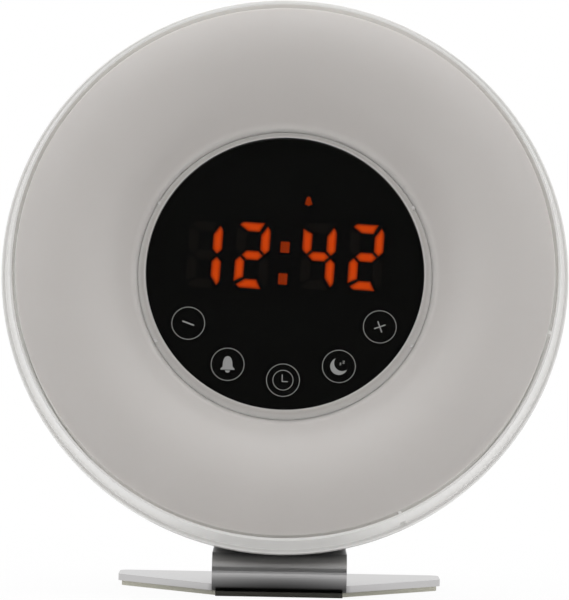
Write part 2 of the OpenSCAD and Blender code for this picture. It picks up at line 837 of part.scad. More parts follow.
module tact_switches() {
    color("#26272a") in_head() for (a = key_angles) at_key(a) {
        translate([0, 0, key_board_back - switch_h / 2])
            cube([switch_side, switch_side, switch_h], center = true);
        translate([0, 0, key_board_back - switch_h - plunger_h])
            cylinder(r = plunger_r, h = plunger_h + eps);
    }
}

module key_board() {
    half = key_post_step + key_board_end;
    far = 2 * key_arc_r;
    color("#1f5a35") in_head() translate([0, 0, key_board_back]) linear_extrude(pcb_t)
        difference() {
            intersection() {
                circle(key_arc_r + key_board_out);
                polygon([[0, 0], far * [-sin(half), cos(half)], [-far, 2 * far], [far, 2 * far],
                    far * [sin(half), cos(half)]]);
            }
            circle(key_arc_r - key_board_in);
            for (p = key_posts) rotate(p[1]) translate([p[0], 0])
                circle(small_screw_r + small_screw_play);
        }
}

module key_board_screws() {
    color("#b9bbbd") in_head() for (p = key_posts)
        rotate(p[1]) translate([p[0], 0, key_board_back + pcb_t])
            screw(key_head_r, small_head_h, small_screw_r, pcb_t + key_screw_bite);
}

// ---- Back-up cell ----

module battery_door() {
    color("#ececea") in_head() difference() {
        translate([door_at[0], door_at[1], door_back]) linear_extrude(door_t)
            rounded_square([door_side, door_side], door_corner_r - slide_gap);
        translate([door_screw_at[0], door_screw_at[1], door_back - over]) {
            cylinder(r = door_screw_head_r + fit_gap, h = door_screw_head_h + over);
            cylinder(r = small_screw_r + thread_gap, h = door_t + 2 * over);
        }
        // Finger groove across the edge that faces the middle
        translate([door_at[0] - door_side / 2, door_at[1], door_back - over])
            cylinder(r = door_groove_r, h = door_groove_d + over);
    }
}

module battery_door_screw() {
    color("#a9abad") in_head()
        translate([door_screw_at[0], door_screw_at[1], door_back + door_screw_head_h])
            mirror([0, 0, 1])
                screw(door_screw_head_r, door_screw_head_h, small_screw_r, door_screw_l);
}

module coin_cell() {
    color("#c9cacc") in_head() translate([door_at[0], door_at[1], cell_back])
        cylinder(r = cell_d / 2, h = cell_t);
}

module cell_contact() {
    color("#d8c48c") in_head() translate([door_at[0], door_at[1], cell_back + cell_t])
        cylinder(r = contact_r, h = contact_t);
}

module case_screws() {
    color("#9fa1a4") in_head() for (a = case_angles)
        rotate(a) translate([case_screw_r, 0, case_floor]) mirror([0, 0, 1])
            screw(case_head_r, large_head_h, case_shank_r, case_floor_t + case_bite);
}

// ---- Stand ----

// Points of an arc that rounds the corner b between the edges from a and to c
function round_corner(a, b, c, r) = let (
    u = (a - b) / norm(a - b),
    v = (c - b) / norm(c - b),
    half = acos(u * v) / 2,
    mid = b + r / sin(half) * (u + v) / norm(u + v),
    from = b + u * r / tan(half) - mid,
    to = b + v * r / tan(half) - mid,
    start = atan2(from[1], from[0]),
    turn = (atan2(to[1], to[0]) - start + 540) % 360 - 180
) [for (i = [0:6]) mid + r * [cos(start + turn * i / 6), sin(start + turn * i / 6)]];

// Half of the base's outline, from its middle line at the front to that at the back
function base_half(inset, front) = let (
    w = base_w / 2 - inset,
    neck = strip_w / 2 - inset,
    rear = roll_y + base_depth - inset,
    shoulder = rear - base_side + inset / 2,
    front_corner = [neck, roll_y - front]
) concat([front_corner], front > 0 ? [[neck, roll_y + inset / 3]] : [],
    round_corner([neck, roll_y], [w, shoulder], [w, rear], base_corner_r),
    round_corner([w, shoulder], [w, rear], [-w, rear], base_corner_r));

module base_outline(inset, front) {
    half = base_half(inset, front);
    polygon(concat(half, [for (i = [len(half) - 1:-1:0]) [-half[i][0], half[i][1]]]));
}

// Points along an arc about a centre, from one angle to another
function arc(centre, r, from, to) = let (steps = ceil(abs(to - from) / 6))
    [for (i = [0:steps]) let (a = from + (to - from) * i / steps) centre + r * [cos(a), sin(a)]];

// The bent strip in side view: out along the roll, the limb, the bend and the upright on the side
// that faces the head, then back along the other side
module strip_section() {
    roll = [roll_y, roll_z];
    bend = [bend_y, bend_z];
    outer = bend_r + sheet_t;
    away = [cos(lean), -sin(lean)];
    up = [sin(lean), cos(lean)] * upright_l;
    polygon(concat(
        arc(roll, roll_r, -90, -270),
        arc(bend, bend_r, -90, -lean),
        [bend + away * bend_r + up, bend + away * outer + up],
        arc(bend, outer, -lean, -90),
        arc(roll, roll_r - sheet_t, -270, -90)));
}

module stand_bracket() {
    color("#b4b5b6") difference() {
        union() {
            translate([0, 0, pad_t]) linear_extrude(sheet_t) base_outline(0, 0);
            rotate([90, 0, 90]) translate([0, 0, -strip_w / 2]) linear_extrude(strip_w)
                strip_section();
        }
        in_head() translate([0, 0, -housing_depth - sheet_t - over]) {
            for (drop = stand_screw_drop) translate([0, -drop, 0])
                cylinder(r = stand_shank_r + stand_shank_play, h = sheet_t + 2 * over);
            for (side = [-1, 1])
                translate([side * (strip_w / 2 - strip_end_r), -strip_end_drop - strip_end_r, 0])
                    linear_extrude(sheet_t + 2 * over) difference() {
                        translate([side > 0 ? 0 : -strip_end_r - over, 0])
                            square(strip_end_r + over);
                        circle(strip_end_r);
                    }
        }
    }
}

module stand_screws() {
    color("#a4a6a8") in_head() for (drop = stand_screw_drop)
        translate([0, -drop, -housing_depth - sheet_t]) mirror([0, 0, 1])
            screw(stand_head_r, large_head_h, stand_shank_r, sheet_t + stand_bite);
}

module foot_pad() {
    color("#4d4e47") linear_extrude(pad_t) base_outline(pad_inset, pad_front);
}

front_diffuser();
clear_rim();
display_bezel();
display_window();
lit_segments();
dark_segments();
digit_module();
touch_springs();
display_board();
light_tray();
led_ring_board();
leds();
main_board();
main_board_screws();
control_chip();
sound_chip();
capacitors();
board_sockets();
dc_jack();
dc_jack_pin();
speaker_basket();
speaker_magnet();
speaker_cone();
speaker_grille();
rear_housing();
light_key();
sound_key();
radio_key();
dimmer_key();
tact_switches();
key_board();
key_board_screws();
battery_door();
battery_door_screw();
coin_cell();
cell_contact();
case_screws();
stand_bracket();
stand_screws();
foot_pad();
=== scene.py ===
# Sunrise alarm clock: the looks of each piece, in the order in which the clock is put together.
# Everything is in metres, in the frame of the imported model.
from math import cos, pi, radians, sin

import bmesh
import bpy
from mathutils import Matrix, Vector


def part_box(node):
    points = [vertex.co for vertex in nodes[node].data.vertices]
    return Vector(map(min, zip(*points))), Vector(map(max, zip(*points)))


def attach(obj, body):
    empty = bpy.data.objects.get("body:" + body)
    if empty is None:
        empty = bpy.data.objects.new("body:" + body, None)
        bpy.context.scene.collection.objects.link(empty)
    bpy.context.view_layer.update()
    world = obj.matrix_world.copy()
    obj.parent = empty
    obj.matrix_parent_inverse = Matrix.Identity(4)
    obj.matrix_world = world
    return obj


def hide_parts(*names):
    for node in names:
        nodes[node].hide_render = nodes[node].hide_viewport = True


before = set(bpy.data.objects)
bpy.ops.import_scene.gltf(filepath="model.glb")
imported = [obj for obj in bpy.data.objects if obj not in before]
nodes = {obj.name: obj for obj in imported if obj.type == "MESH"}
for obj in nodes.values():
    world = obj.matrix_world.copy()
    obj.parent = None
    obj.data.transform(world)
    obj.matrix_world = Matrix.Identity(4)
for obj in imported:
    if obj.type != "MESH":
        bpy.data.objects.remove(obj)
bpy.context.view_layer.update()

# ---------------------------------------------------------------- rear housing
# The bowl that closes the back and carries everything. Injection-moulded ABS, left matt by a
# spark-eroded mould: the eye sees an even white with a very fine grain and no mirror gloss.


def linear(hex_colour):
    """Turns an sRGB hex colour into the linear one that a shader takes."""
    parts = [int(hex_colour[i:i + 2], 16) / 255 for i in (1, 3, 5)]
    return tuple(c / 12.92 if c <= 0.04045 else ((c + 0.055) / 1.055) ** 2.4 for c in parts) + (1,)


def add(tree, kind, inputs=None, **settings):
    """Adds a node; inputs holds, for each socket, its value or the output that feeds it."""
    node = tree.nodes.new("ShaderNode" + kind)
    for name, value in settings.items():
        setattr(node, name, value)
    for socket, value in (inputs or {}).items():
        if isinstance(value, bpy.types.NodeSocket):
            tree.links.new(value, node.inputs[socket])
        else:
            node.inputs[socket].default_value = value
    return node


def finish(name):
    """Starts an empty material and gives it back with its node tree."""
    material = bpy.data.materials.new(name)
    material.use_nodes = True
    material.node_tree.nodes.clear()
    return material, material.node_tree


def per_mm(size):
    """Noise scale at which one cell measures this many millimetres."""
    return 1000 / size


def dress(material, *names):
    """Gives CAD nodes their finish."""
    for name in names:
        slots = nodes[name].data.materials
        if len(slots) == 0:
            slots.append(material)
        for i in range(len(slots)):
            slots[i] = material


def moulded(name, colour, shade, roughness, spread, grain_mm, depth_mm):
    """A moulded, pressed or printed finish: a little mottled in colour and gloss, and grained."""
    material, tree = finish(name)
    place = add(tree, "TexCoord").outputs["Object"]
    cloud = add(tree, "TexNoise", {"Vector": place, "Scale": per_mm(18), "Detail": 3.0})
    tint = add(tree, "MixRGB", {"Fac": cloud.outputs["Fac"], "Color1": linear(colour),
                                "Color2": linear(shade)})
    grain = add(tree, "TexNoise", {"Vector": place, "Scale": per_mm(grain_mm), "Detail": 4.0})
    sheen = add(tree, "MapRange", {"Value": grain.outputs["Fac"], "From Min": 0.3, "From Max": 0.7,
                                   "To Min": roughness - spread, "To Max": roughness + spread})
    relief = add(tree, "Bump", {"Height": grain.outputs["Fac"], "Strength": 0.35,
                                "Distance": depth_mm / 1000})
    skin = add(tree, "BsdfPrincipled", {"Base Color": tint.outputs["Color"],
                                        "Roughness": sheen.outputs["Result"],
                                        "IOR": 1.5, "Normal": relief.outputs["Normal"]})
    add(tree, "OutputMaterial", {"Surface": skin.outputs["BSDF"]})
    return material


housing_abs = moulded("moulded ABS, white", "#eeeeec", "#e9e9e6", 0.48, 0.06, 0.5, 0.03)
dress(housing_abs, "rear_housing")

# ---------------------------------------------------------------- speaker and its grille
# A 40 mm paper-cone speaker behind a punched cap. The basket is pressed steel under black
# enamel, the magnet sintered ferrite, the cone pressed pulp; the cap is the housing's own ABS.
grille_abs = moulded("moulded ABS, light grey", "#dcdddc", "#d5d6d5", 0.5, 0.06, 0.5, 0.03)
basket_enamel = moulded("black enamel on pressed steel", "#232427", "#1c1d20", 0.34, 0.05, 1.2,
                        0.01)
ferrite = moulded("sintered ferrite, dark grey", "#2c2c2f", "#232326", 0.62, 0.08, 0.4, 0.02)
cone_pulp = moulded("pressed paper pulp, black", "#1d1c1b", "#151414", 0.86, 0.05, 0.25, 0.05)
dress(grille_abs, "speaker_grille")
dress(basket_enamel, "speaker_basket")
dress(ferrite, "speaker_magnet")
dress(cone_pulp, "speaker_cone")

# ---------------------------------------------------------------- back keys and their switches
# Four push keys on an arc, moulded in a slightly greyer ABS so that fingers find them, over
# nylon switches on a glass-fibre board held by three screws.
key_abs = moulded("moulded ABS, key grey", "#e2e2df", "#dadad6", 0.42, 0.06, 0.35, 0.03)
switch_nylon = moulded("moulded nylon, black", "#1c1d1f", "#151617", 0.45, 0.06, 0.4, 0.02)
dress(key_abs, "light_key", "sound_key", "radio_key", "dimmer_key")
dress(switch_nylon, "tact_switches")


def board_finish(name, mask, copper):
    """Solder mask on a printed board: glossy lacquer, with the copper tracks showing under it."""
    material, tree = finish(name)
    place = add(tree, "TexCoord").outputs["Object"]
    tracks = add(tree, "TexBrick", {"Vector": place, "Scale": per_mm(9), "Mortar Size": 0.08,
                                    "Color1": linear(mask), "Color2": linear(mask),
                                    "Mortar": linear(copper)})
    ripple = add(tree, "TexNoise", {"Vector": place, "Scale": per_mm(2.5), "Detail": 3.0})
    relief = add(tree, "Bump", {"Height": ripple.outputs["Fac"], "Strength": 0.3,
                                "Distance": 0.00002})
    lacquer = add(tree, "BsdfPrincipled", {"Base Color": tracks.outputs["Color"],
                                           "Roughness": 0.3, "IOR": 1.5,
                                           "Normal": relief.outputs["Normal"]})
    add(tree, "OutputMaterial", {"Surface": lacquer.outputs["BSDF"]})
    return material


def metal(name, colour, shade, roughness, spread, grain_mm, stretch=(1, 1, 1), shade_reach_mm=0):
    """A bare or plated metal with fine marks, drawn out along one direction by stretch. With a
    reach in millimetres as the last argument, places hemmed in closer than that, out to the edges
    of the stand's strip 20 mm from the middle, darken towards black: painted shade."""
    material, tree = finish(name)
    place = add(tree, "TexCoord").outputs["Object"]
    along = add(tree, "Mapping", {"Vector": place, "Scale": stretch})
    marks = add(tree, "TexNoise", {"Vector": along.outputs["Vector"], "Scale": per_mm(grain_mm),
                                   "Detail": 5.0})
    tint = add(tree, "MixRGB", {"Fac": marks.outputs["Fac"], "Color1": linear(colour),
                                "Color2": linear(shade)})
    sheen = add(tree, "MapRange", {"Value": marks.outputs["Fac"], "From Min": 0.3, "From Max": 0.7,
                                   "To Min": roughness - spread, "To Max": roughness + spread})
    relief = add(tree, "Bump", {"Height": marks.outputs["Fac"], "Strength": 0.2,
                                "Distance": 0.00001})
    # Painted shade: the colour darkens towards black where ambient occlusion finds other surfaces
    # close by, within the strip only
    if shade_reach_mm:
        ambient_shade = add(tree, "AmbientOcclusion", {"Distance": shade_reach_mm / 1000}, samples=8)
        hidden = add(tree, "Math", {0: 1.0, 1: ambient_shade.outputs["AO"]}, operation="SUBTRACT")
        spot = add(tree, "SeparateXYZ", {"Vector": place})
        aside = add(tree, "Math", {0: spot.outputs["X"]}, operation="ABSOLUTE")
        near = add(tree, "MapRange", {"Value": aside.outputs[0], "From Min": 0.0198,
                                      "From Max": 0.0215, "To Min": 1.0, "To Max": 0.0})
        painted_shade = add(tree, "Math", {0: hidden.outputs[0], 1: near.outputs["Result"]},
                   operation="MULTIPLY")
        tint = add(tree, "MixRGB", {"Fac": painted_shade.outputs[0], "Color1": tint.outputs["Color"],
                                    "Color2": linear("#050505")})
    surface = add(tree, "BsdfPrincipled", {"Base Color": tint.outputs["Color"], "Metallic": 1.0,
                                           "Roughness": sheen.outputs["Result"],
                                           "Normal": relief.outputs["Normal"]})
    add(tree, "OutputMaterial", {"Surface": surface.outputs["BSDF"]})
    return material


green_board = board_finish("glass-fibre board, green mask", "#1d5233", "#2b6b43")
zinc_screw = metal("zinc-plated steel", "#b9babb", "#a6a7a8", 0.36, 0.05, 0.6)
dress(green_board, "key_board")
dress(zinc_screw, "key_board_screws")

# ---------------------------------------------------------------- back-up cell and its door
# A lithium coin cell in a pocket, under a nickel-plated spring contact and a screwed ABS door.
cell_steel = metal("nickel-plated steel, brushed", "#c6c7c9", "#b4b5b7", 0.26, 0.05, 0.4, (1, 8, 1))
contact_nickel = metal("nickel-plated phosphor bronze", "#cdbb88", "#bda973", 0.3, 0.05, 0.5)
door_abs = moulded("moulded ABS, door white", "#eaeae7", "#e3e3df", 0.46, 0.06, 0.5, 0.03)
dress(cell_steel, "coin_cell")
dress(contact_nickel, "cell_contact")
dress(door_abs, "battery_door")
dress(zinc_screw, "battery_door_screw")

# ---------------------------------------------------------------- main board and what it carries
# Green glass-fibre board on four posts, with two resin chips, two capacitors in printed
# sleeves, two nylon sockets and the power inlet with its nickel pin.
chip_resin = moulded("epoxy moulding resin, black", "#19191a", "#121213", 0.55, 0.05, 0.2, 0.01)
sleeve_pet = moulded("shrunk PET sleeve, blue", "#2a3c72", "#233262", 0.3, 0.04, 1.5, 0.01)
socket_nylon = moulded("moulded nylon, natural", "#e6e1d3", "#dcd6c6", 0.5, 0.05, 0.5, 0.02)
inlet_nylon = moulded("glass-filled nylon, black", "#171718", "#101011", 0.48, 0.06, 0.3, 0.02)
dress(green_board, "main_board")
dress(zinc_screw, "main_board_screws")
dress(chip_resin, "control_chip", "sound_chip")
dress(sleeve_pet, "capacitors")
dress(socket_nylon, "board_sockets")
dress(inlet_nylon, "dc_jack")
dress(cell_steel, "dc_jack_pin")

# ---------------------------------------------------------------- reflector tray and lamp ring
# The white tray spreads the light behind the diffuser. High-gloss white polystyrene; the lamp
# board has a white mask, and each LED is a silicone-filled package with a yellow phosphor.
tray_ps = moulded("moulded polystyrene, reflector white", "#f3f3f0", "#eeeeea", 0.4, 0.05, 0.8,
                  0.02)
white_board = board_finish("aluminium board, white mask", "#e8eae5", "#dcdfd9")
phosphor = moulded("silicone with yellow phosphor", "#efd990", "#e5cb78", 0.35, 0.05, 0.6, 0.02)
dress(tray_ps, "light_tray")
dress(white_board, "led_ring_board")
dress(phosphor, "leds")

# ---------------------------------------------------------------- clock module
# The black digit block stands on its round board, with light pipes for the segments. Five
# plated springs carry the touch fields. Lit pipes glow orange, unlit ones are dark amber.
module_ppe = moulded("moulded PPE, black", "#0b0a0a", "#070707", 0.5, 0.05, 0.5, 0.02)
spring_steel = metal("plated spring steel", "#c4b483", "#b3a271", 0.32, 0.05, 0.4)
dark_pipe = moulded("amber acrylic, unlit", "#5c4e48", "#54473f", 0.35, 0.05, 0.8, 0.02)

glow_pipe, tree = finish("amber acrylic, lit")
place = add(tree, "TexCoord").outputs["Object"]
# Scattering paste in the pipe makes the glow a little uneven over about 2 mm, and the light is
# strongest over the middle of each pipe, where its LED sits
cloud = add(tree, "TexNoise", {"Vector": place, "Scale": per_mm(2), "Detail": 2.0})
glow = add(tree, "MixRGB", {"Fac": cloud.outputs["Fac"], "Color1": linear("#ff4a06"),
                            "Color2": linear("#ff5c0c")})
shine = add(tree, "Attribute", attribute_name="shine")
level = add(tree, "MapRange", {"Value": shine.outputs["Fac"], "From Min": 0.0, "From Max": 1.0,
                               "To Min": 0.0, "To Max": 3.2})
pipe = add(tree, "BsdfPrincipled", {"Base Color": linear("#5a1c08"), "Roughness": 0.4,
                                    "Emission Color": glow.outputs["Color"],
                                    "Emission Strength": level.outputs["Result"]})
add(tree, "OutputMaterial", {"Surface": pipe.outputs["BSDF"]})

dress(green_board, "display_board")
dress(module_ppe, "digit_module")
dress(dark_pipe, "dark_segments")
dress(spring_steel, "touch_springs")

# ---------------------------------------------------------------- face window
# A round of smoked acrylic, laser-cut and polished, with a soft edge. Black ink covers its back,
# apart from the opening over the digits. The face is a deep gloss black.
LEAN = radians(12.5)
HEAD_Z = 0.0956857
head = Matrix.Translation((0, 0, HEAD_Z)) @ Matrix.Rotation(pi / 2 - LEAN, 4, "X")
WINDOW_R = 0.0417
WINDOW_FACE = 0.0030
WINDOW_BACK = 0.0014
SHARP = radians(35)     # an edge that turns by more than this stays sharp
TURN_STEPS = 240


def piece(name, bm):
    """Turns a bmesh into an object of the scene, smooth apart from its sharp edges."""
    mesh = bpy.data.meshes.new(name)
    bm.to_mesh(mesh)
    bm.free()
    thing = bpy.data.objects.new(name, mesh)
    bpy.context.scene.collection.objects.link(thing)
    mesh.shade_smooth()
    mesh.set_sharp_from_angle(angle=SHARP)
    return thing


def turned(name, profile, closed=True):
    """Turns a profile of (radius, height) points about the axis of the head. A closed profile
    runs from its last point back to its first."""
    bm = bmesh.new()
    rings = []
    for radius, height in profile:
        if radius == 0:
            rings.append([bm.verts.new((0, 0, height))] * TURN_STEPS)
        else:
            rings.append([bm.verts.new((radius * cos(2 * pi * i / TURN_STEPS),
                                        radius * sin(2 * pi * i / TURN_STEPS), height))
                          for i in range(TURN_STEPS)])
    pairs = list(zip(rings, rings[1:] + (rings[:1] if closed else [])))
    for low, high in pairs:
        for i in range(TURN_STEPS):
            j = (i + 1) % TURN_STEPS
            corners = []
            for v in (low[i], low[j], high[j], high[i]):
                if v not in corners:
                    corners.append(v)
            if len(corners) > 2:
                bm.faces.new(corners)
    bmesh.ops.recalc_face_normals(bm, faces=bm.faces)
    bm.transform(head)
    return piece(name, bm)


smoked, tree = finish("polished acrylic, smoked")
place = add(tree, "TexCoord").outputs["Object"]
# Handling leaves wipe marks a few millimetres wide that only change the gloss
wipes = add(tree, "TexNoise", {"Vector": place, "Scale": per_mm(6), "Detail": 4.0})
polish = add(tree, "MapRange", {"Value": wipes.outputs["Fac"], "From Min": 0.3, "From Max": 0.7,
                                "To Min": 0.03, "To Max": 0.07})
pane = add(tree, "BsdfPrincipled", {"Base Color": linear("#121211"), "IOR": 1.49, "Alpha": 0.6,
                                    "Roughness": polish.outputs["Result"]})
add(tree, "OutputMaterial", {"Surface": pane.outputs["BSDF"]})

INK_T = 0.00004
EDGE_ROUND = 0.0001     # the cut edge is broken by a tenth of a millimetre
window = turned("face_window", [(0, WINDOW_BACK + INK_T), (WINDOW_R, WINDOW_BACK + INK_T),
                                (WINDOW_R, WINDOW_FACE), (0, WINDOW_FACE)], closed=False)
window.data.materials.append(smoked)
bevel = window.modifiers.new("soft edge", "BEVEL")
bevel.width, bevel.segments = EDGE_ROUND, 3
bevel.limit_method, bevel.angle_limit = "ANGLE", SHARP
bevel.harden_normals = True
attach(window, "clock")
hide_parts("display_window")

# Each lit pipe is darkest at its side walls and brightest over its middle. A long pipe's front has
# two steps on the way, 0.3 and 0.9 mm inside its outline; colon and bell are too small for them.
SIDE_SHINE = 0.12
OUTLINE_SHINE = 0.3
SMALL_SHINE = 0.4
SMALL_FRONT = 1.1e-5    # square metres
FACES_OUT = 0.99        # least cosine between a front's normal and the axis of the head
STEPS_IN = ((0.0003, 0.45), (0.0006, 1.0))      # metres further in, and the shine from there
pipes = bmesh.new()
pipes.from_mesh(nodes["lit_segments"].data)
out = (head.to_3x3() @ Vector((0, 0, 1))).normalized()
shine_of = pipes.verts.layers.float.new("shine")
bmesh.ops.dissolve_faces(pipes, faces=[f for f in pipes.faces if f.normal.dot(out) > FACES_OUT])
fronts = [f for f in pipes.faces if f.normal.dot(out) > FACES_OUT]
for v in pipes.verts:
    v[shine_of] = SIDE_SHINE
for face in fronts:
    small = face.calc_area() < SMALL_FRONT
    for v in face.verts:
        v[shine_of] = SMALL_SHINE if small else OUTLINE_SHINE
fronts = [f for f in fronts if f.calc_area() > SMALL_FRONT]
for step, shine_there in STEPS_IN:
    bmesh.ops.inset_individual(pipes, faces=fronts, thickness=step, use_even_offset=True)
    for face in fronts:
        for v in face.verts:
            v[shine_of] = shine_there
lit_pipes = piece("lit_pipes", pipes)
lit_pipes.data.materials.clear()
lit_pipes.data.materials.append(glow_pipe)
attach(lit_pipes, "clock")
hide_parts("lit_segments")

ink = moulded("screen-printed black ink", "#141413", "#131312", 0.6, 0.02, 0.3, 0.0005)
PRINT_R = 0.04165
PRINT_STEPS = 160
# The print is left open over the digits and, above them, over the alarm bell
DIGITS_X, DIGITS_LOW, DIGITS_TOP = 0.0312, -0.0068, 0.0174
BELL_LEFT, BELL_RIGHT, BELL_TOP = 0.0046, 0.0104, 0.0246
opening = [(-DIGITS_X, DIGITS_LOW), (DIGITS_X, DIGITS_LOW), (DIGITS_X, DIGITS_TOP),
           (BELL_RIGHT, DIGITS_TOP), (BELL_RIGHT, BELL_TOP), (BELL_LEFT, BELL_TOP),
           (BELL_LEFT, DIGITS_TOP), (-DIGITS_X, DIGITS_TOP)]
bm = bmesh.new()
rim = [bm.verts.new((PRINT_R * cos(2 * pi * i / PRINT_STEPS),
                     PRINT_R * sin(2 * pi * i / PRINT_STEPS), 0)) for i in range(PRINT_STEPS)]
gap = [bm.verts.new((x, y, 0)) for x, y in opening]
edges = [bm.edges.new((loop[i], loop[(i + 1) % len(loop)])) for loop in (rim, gap)
         for i in range(len(loop))]
bmesh.ops.triangle_fill(bm, use_beauty=True, edges=edges)
bmesh.ops.translate(bm, verts=bm.verts, vec=(0, 0, WINDOW_BACK + INK_T / 2))
bm.transform(head)
backing = piece("window_back_print", bm)
backing.data.materials.append(ink)
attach(backing, "clock")

# ---------------------------------------------------------------- touch marks
# Five circled signs screen-printed in light grey on the window: less, alarm, clock, sleep and
# more. One thin layer of matt ink.
grey_ink = moulded("screen-printed light grey ink", "#9c9c9b", "#929291", 0.55, 0.05, 0.2, 0.003)
marks = bmesh.new()
INK_Z = WINDOW_FACE + 0.00002
BAND_STEPS = 48


def band(at, outer, inner):
    """A printed ring between two radii, in millimetres."""
    loops = []
    for r in (outer, inner):
        turns = [2 * pi * i / BAND_STEPS for i in range(BAND_STEPS + 1)]
        loops.append([marks.verts.new(((at[0] + r * cos(a)) / 1000,
                                       (at[1] + r * sin(a)) / 1000, INK_Z)) for a in turns])
    wide, tight = loops
    for i in range(BAND_STEPS):
        marks.faces.new((wide[i], wide[i + 1], tight[i + 1], tight[i]))


def patch(at, outline, turn=0.0):
    """A printed patch with this outline, turned about its middle, in millimetres."""
    c, s = cos(radians(turn)), sin(radians(turn))
    marks.faces.new([marks.verts.new(((at[0] + x * c - y * s) / 1000,
                                      (at[1] + x * s + y * c) / 1000, INK_Z))
                     for x, y in outline])


def bar(at, long, thick, turn=0.0, off=(0, 0)):
    """A printed bar."""
    x, y = off
    patch(at, [(x - long / 2, y - thick / 2), (x + long / 2, y - thick / 2),
               (x + long / 2, y + thick / 2), (x - long / 2, y + thick / 2)], turn)


# The signs lie on an arc of 32.8 mm, 30.4 degrees apart
MARK_ARC = 32.8
MARK_STEP = 30.4
spots = [(MARK_ARC * sin(radians(a)), -MARK_ARC * cos(radians(a)))
         for a in (-2 * MARK_STEP, -MARK_STEP, 0, MARK_STEP, 2 * MARK_STEP)]
for spot in spots:
    band(spot, 5.01, 4.83)
less, alarm, time, sleep, more = spots
bar(less, 3.7, 0.4, -20)
bar(more, 3.6, 0.34, 20)
bar(more, 3.6, 0.34, 110)
band(time, 3.1, 2.92)
bar(time, 2.2, 0.26, 90, off=(0.6, 0.25))
bar(time, 1.7, 0.26, 0, off=(0.6, -0.43))
bell = [(-2.15, -1.65), (2.15, -1.65), (2.0, -1.2), (1.5, -0.8), (1.4, 0.7), (1.15, 1.6),
        (0.7, 2.25), (0, 2.5), (-0.7, 2.25), (-1.15, 1.6), (-1.4, 0.7), (-1.5, -0.8), (-2.0, -1.2)]
patch(alarm, bell)
patch(alarm, [(0.75 * cos(radians(a)), -1.85 + 0.7 * sin(radians(a)))
              for a in range(180, 361, 20)])
# The crescent lies between its round back and a smaller circle cut out of it
MOON_R, CUT_R, CUT_AT, MOON_STEPS = 2.6, 2.436, (0.985, 1.003), 16
back_arc = [(MOON_R * cos(radians(a)), MOON_R * sin(radians(a)))
            for a in [112 + 227 * i / MOON_STEPS for i in range(MOON_STEPS + 1)]]
cut_arc = [(CUT_AT[0] + CUT_R * cos(radians(a)), CUT_AT[1] + CUT_R * sin(radians(a)))
           for a in [144.3 + 162.4 * i / MOON_STEPS for i in range(MOON_STEPS + 1)]]
for i in range(MOON_STEPS):
    patch(sleep, [back_arc[i], back_arc[i + 1], cut_arc[i + 1], cut_arc[i]])
for x, y, s in ((0.45, 0.75, 0.28), (1.4, 1.3, 0.34)):
    bar(sleep, 2 * s, 0.14, 0, off=(x, y + s))
    bar(sleep, 2 * s, 0.14, 0, off=(x, y - s))
    patch(sleep, [(x - s, y - s), (x - s + 0.2, y - s), (x + s, y + s), (x + s - 0.2, y + s)])

marks.transform(head)
touch_marks = piece("touch_marks", marks)
touch_marks.data.materials.append(grey_ink)
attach(touch_marks, "clock")

# ---------------------------------------------------------------- clear bezel and clear rim
# Both are clear moulded acrylic with a satin back. The rim fits round the diffuser, and the bezel
# clips onto the tray's tower. The eye sees light edges, a dark line where the wall meets the
# flange, and the white parts behind, slightly bent.
FOOT_R = 0.0440         # outside of the bezel's foot


def off_axis(tree, place):
    """Distance from the axis of the head."""
    from_middle = add(tree, "VectorMath", {0: place, 1: (0, 0, HEAD_Z)}, operation="SUBTRACT")
    across = add(tree, "VectorMath", {0: from_middle.outputs[0],
                                      1: head.to_3x3() @ Vector((0, 0, 1))},
                 operation="CROSS_PRODUCT")
    return add(tree, "VectorMath", {0: across.outputs[0]}, operation="LENGTH").outputs["Value"]


def clear(name, colour, through, passed, painted_foot_light=None):
    """Clear acrylic whose satin back scatters part of the light. Shadow rays and the rays named
    in passed go straight through. A foot colour takes over in the last 1.2 mm of the foot: painted
    light, given lighter against the shade where the foot meets the diffuser."""
    material, tree = finish(name)
    place = add(tree, "TexCoord").outputs["Object"]
    # Flow in the mould changes the gloss by a hair over some 12 mm
    flow = add(tree, "TexNoise", {"Vector": place, "Scale": per_mm(12), "Detail": 1.0})
    sheen = add(tree, "MapRange", {"Value": flow.outputs["Fac"], "From Min": 0.3, "From Max": 0.7,
                                   "To Min": 0.18, "To Max": 0.22})
    tone = linear(colour)
    # Painted light: a lighter colour over the last 1.2 mm of the foot, against the shade where it
    # meets the diffuser
    if painted_foot_light:
        foot = add(tree, "MapRange", {"Value": off_axis(tree, place), "From Min": FOOT_R - 0.0012,
                                      "From Max": FOOT_R, "To Min": 0.0, "To Max": 1.0})
        tone = add(tree, "MixRGB", {"Fac": foot.outputs["Result"], "Color1": linear(colour),
                                    "Color2": linear(painted_foot_light)}).outputs["Color"]
    acrylic = add(tree, "BsdfPrincipled", {"Base Color": tone, "IOR": 1.49,
                                           "Roughness": sheen.outputs["Result"],
                                           "Transmission Weight": through})
    pass_by = add(tree, "BsdfTransparent", {"Color": linear("#f4f4f3")})
    path = add(tree, "LightPath")
    let_by = add(tree, "Math", {0: path.outputs["Is Shadow Ray"], 1: path.outputs[passed]},
                 operation="MAXIMUM")
    both = add(tree, "MixShader", {0: let_by.outputs[0], 1: acrylic.outputs["BSDF"],
                                   2: pass_by.outputs["BSDF"]})
    add(tree, "OutputMaterial", {"Surface": both.outputs["Shader"]})
    return material


rim_pmma = clear("clear acrylic, satin back", "#f4f3f1", 0.15, "Is Diffuse Ray")
bezel_pmma = clear("clear acrylic, foot painted light", "#e2dfdc", 0.25, "Is Shadow Ray", "#fcfbf9")
dress(rim_pmma, "clear_rim")
dress(bezel_pmma, "display_bezel")

